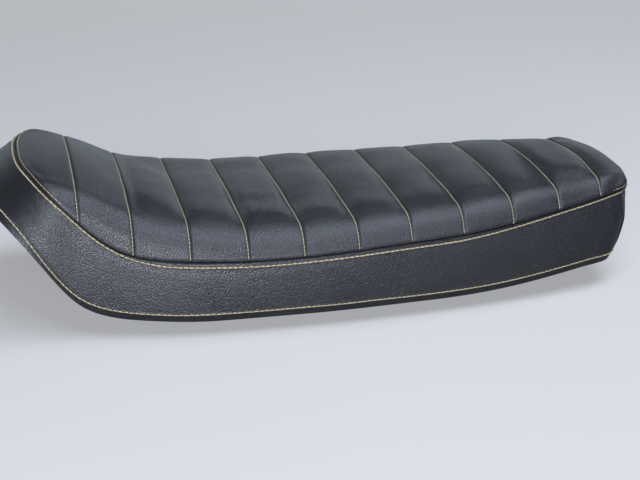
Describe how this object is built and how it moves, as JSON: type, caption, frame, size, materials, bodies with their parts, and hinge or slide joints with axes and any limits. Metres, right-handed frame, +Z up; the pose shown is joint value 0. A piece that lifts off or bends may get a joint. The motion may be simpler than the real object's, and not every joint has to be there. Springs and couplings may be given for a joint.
{
  "type": "motorcycle seat",
  "caption": "Long low seat with a cross-pleated top that rises to a rear hump, a stitched side band and a steel pan with a bolt-down bar and front tongue.",
  "frame": {"origin": "midway between the two bolt holes of the mounting bar, on its underside, which bolts down to the frame", "axes": "+X forward towards the nose, +Y to the rider's left, +Z up"},
  "size_m": [0.6282, 0.2535, 0.1457],
  "materials": {
    "cover": "black upholstery leather with a fine pebble grain, satin",
    "cover_edge": "the same leather, turned under and fixed",
    "foam": "cut seat foam",
    "pan_paint": "satin black powder coat",
    "bracket_paint": "gloss black paint",
    "zinc": "zinc plated",
    "rubber": "moulded rubber"
  },
  "bodies": {
    "root": {"pleated_top": "cover", "side_band": "cover", "front_panel": "cover", "hem": "cover_edge", "foam_block": "foam", "seat_pan": "pan_paint", "mount_bar": "bracket_paint", "front_tongue": "bracket_paint", "weld_nuts": "zinc", "buffer_rear_left": "rubber", "buffer_rear_right": "rubber", "buffer_middle_left": "rubber", "buffer_middle_right": "rubber", "buffer_front_left": "rubber", "buffer_front_right": "rubber"}
  },
  "joints": []
}
